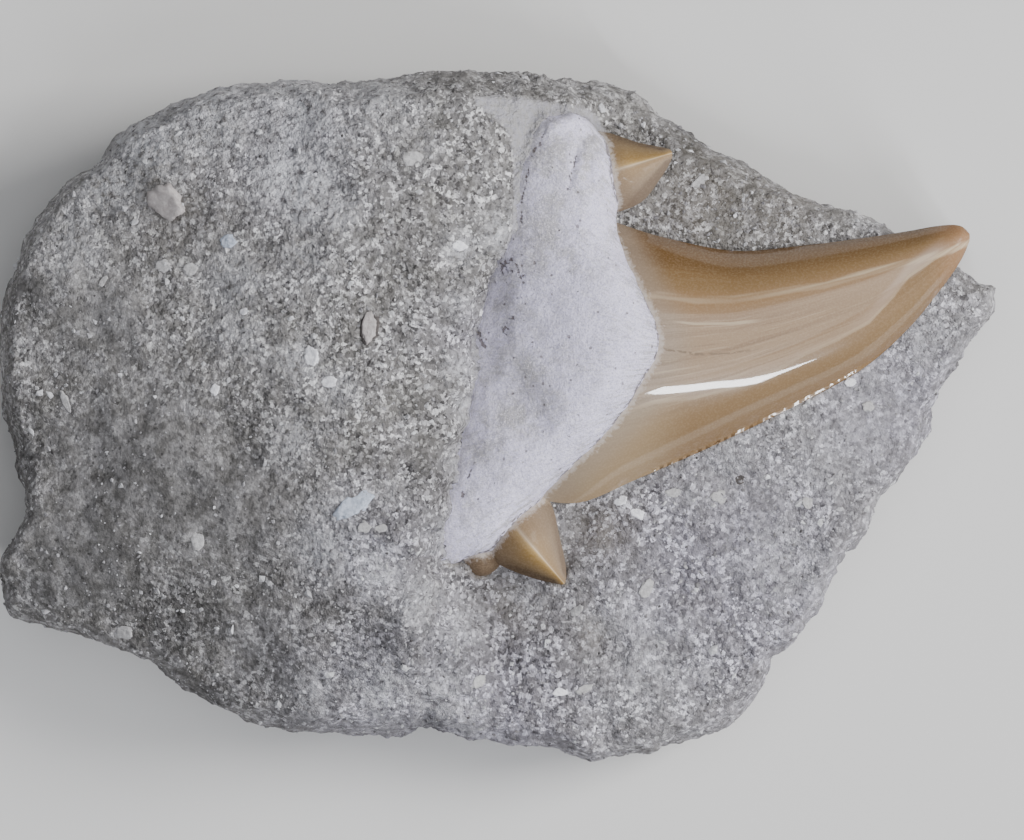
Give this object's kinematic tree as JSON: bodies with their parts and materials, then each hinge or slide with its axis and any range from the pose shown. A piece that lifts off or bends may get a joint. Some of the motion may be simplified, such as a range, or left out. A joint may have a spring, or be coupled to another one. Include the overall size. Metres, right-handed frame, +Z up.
{
  "type": "fossil shark tooth in matrix",
  "caption": "Fossil shark tooth with root, curved crown and side cusplets, lying lingual face up in a hand-sized lump of sandy rock with a flat base.",
  "frame": {"origin": "on the table under the middle of the rock's and tooth's bounding box", "axes": "+X from the hump of the rock towards the tip of the crown, +Y towards the upper cusplet's side, +Z up from the flat base"},
  "size_m": [0.1199, 0.083, 0.0305],
  "materials": {
    "rock": "rough broken phosphate sand rock",
    "tooth": "polished enamel crown and chalky root"
  },
  "bodies": {
    "root": {"rock": "rock", "tooth": "tooth"}
  },
  "joints": []
}
